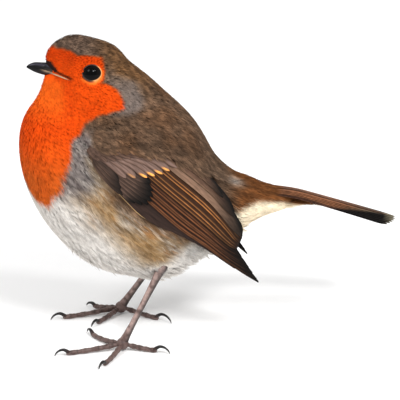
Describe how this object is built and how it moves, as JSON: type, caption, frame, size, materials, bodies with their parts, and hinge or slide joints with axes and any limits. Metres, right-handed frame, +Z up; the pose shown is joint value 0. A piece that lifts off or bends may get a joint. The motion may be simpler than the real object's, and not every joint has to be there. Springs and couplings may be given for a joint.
{
  "type": "songbird model",
  "caption": "Life-size European robin standing still: round body, orange face and breast, fine dark bill, folded wings, straight slim tail and thin legs with spread toes.",
  "frame": {"origin": "on the ground, under the middle of the bird's bounding box", "axes": "+Z up; the bird faces -X, its tail points to +X, and its left side is towards -Y"},
  "size_m": [0.1264, 0.0546, 0.1048],
  "materials": {
    "plumage_brown": "matt olive-brown feathers",
    "plumage_orange": "matt orange-red feathers",
    "plumage_pale": "soft grey-white and buff feathers",
    "flight_feather": "satin dark brown flight feathers with rusty edges",
    "bill": "glossy black horn",
    "claw": "dark horn",
    "eye": "wet black-brown eye",
    "leg_skin": "satin scaled skin, dark pinkish brown"
  },
  "bodies": {
    "root": {"bill_lower": "bill", "bill_upper": "bill", "claw_left_hallux": "claw", "claw_left_inner": "claw", "claw_left_middle": "claw", "claw_left_outer": "claw", "claw_right_hallux": "claw", "claw_right_inner": "claw", "claw_right_middle": "claw", "claw_right_outer": "claw", "eye_left": "eye", "eye_right": "eye", "foot_left": "leg_skin", "foot_right": "leg_skin", "head": "plumage_brown", "neck": "plumage_orange", "rump": "plumage_brown", "shank_left": "leg_skin", "shank_right": "leg_skin", "tail": "flight_feather", "tail_coverts": "plumage_pale", "thigh_left": "plumage_pale", "thigh_right": "plumage_pale", "toe_left_hallux": "leg_skin", "toe_left_inner": "leg_skin", "toe_left_middle": "leg_skin", "toe_left_outer": "leg_skin", "toe_right_hallux": "leg_skin", "toe_right_inner": "leg_skin", "toe_right_middle": "leg_skin", "toe_right_outer": "leg_skin", "trunk": "plumage_pale", "wing_left_coverts": "plumage_brown", "wing_left_primaries": "flight_feather", "wing_left_secondaries": "flight_feather", "wing_right_coverts": "plumage_brown", "wing_right_primaries": "flight_feather", "wing_right_secondaries": "flight_feather"}
  },
  "joints": []
}
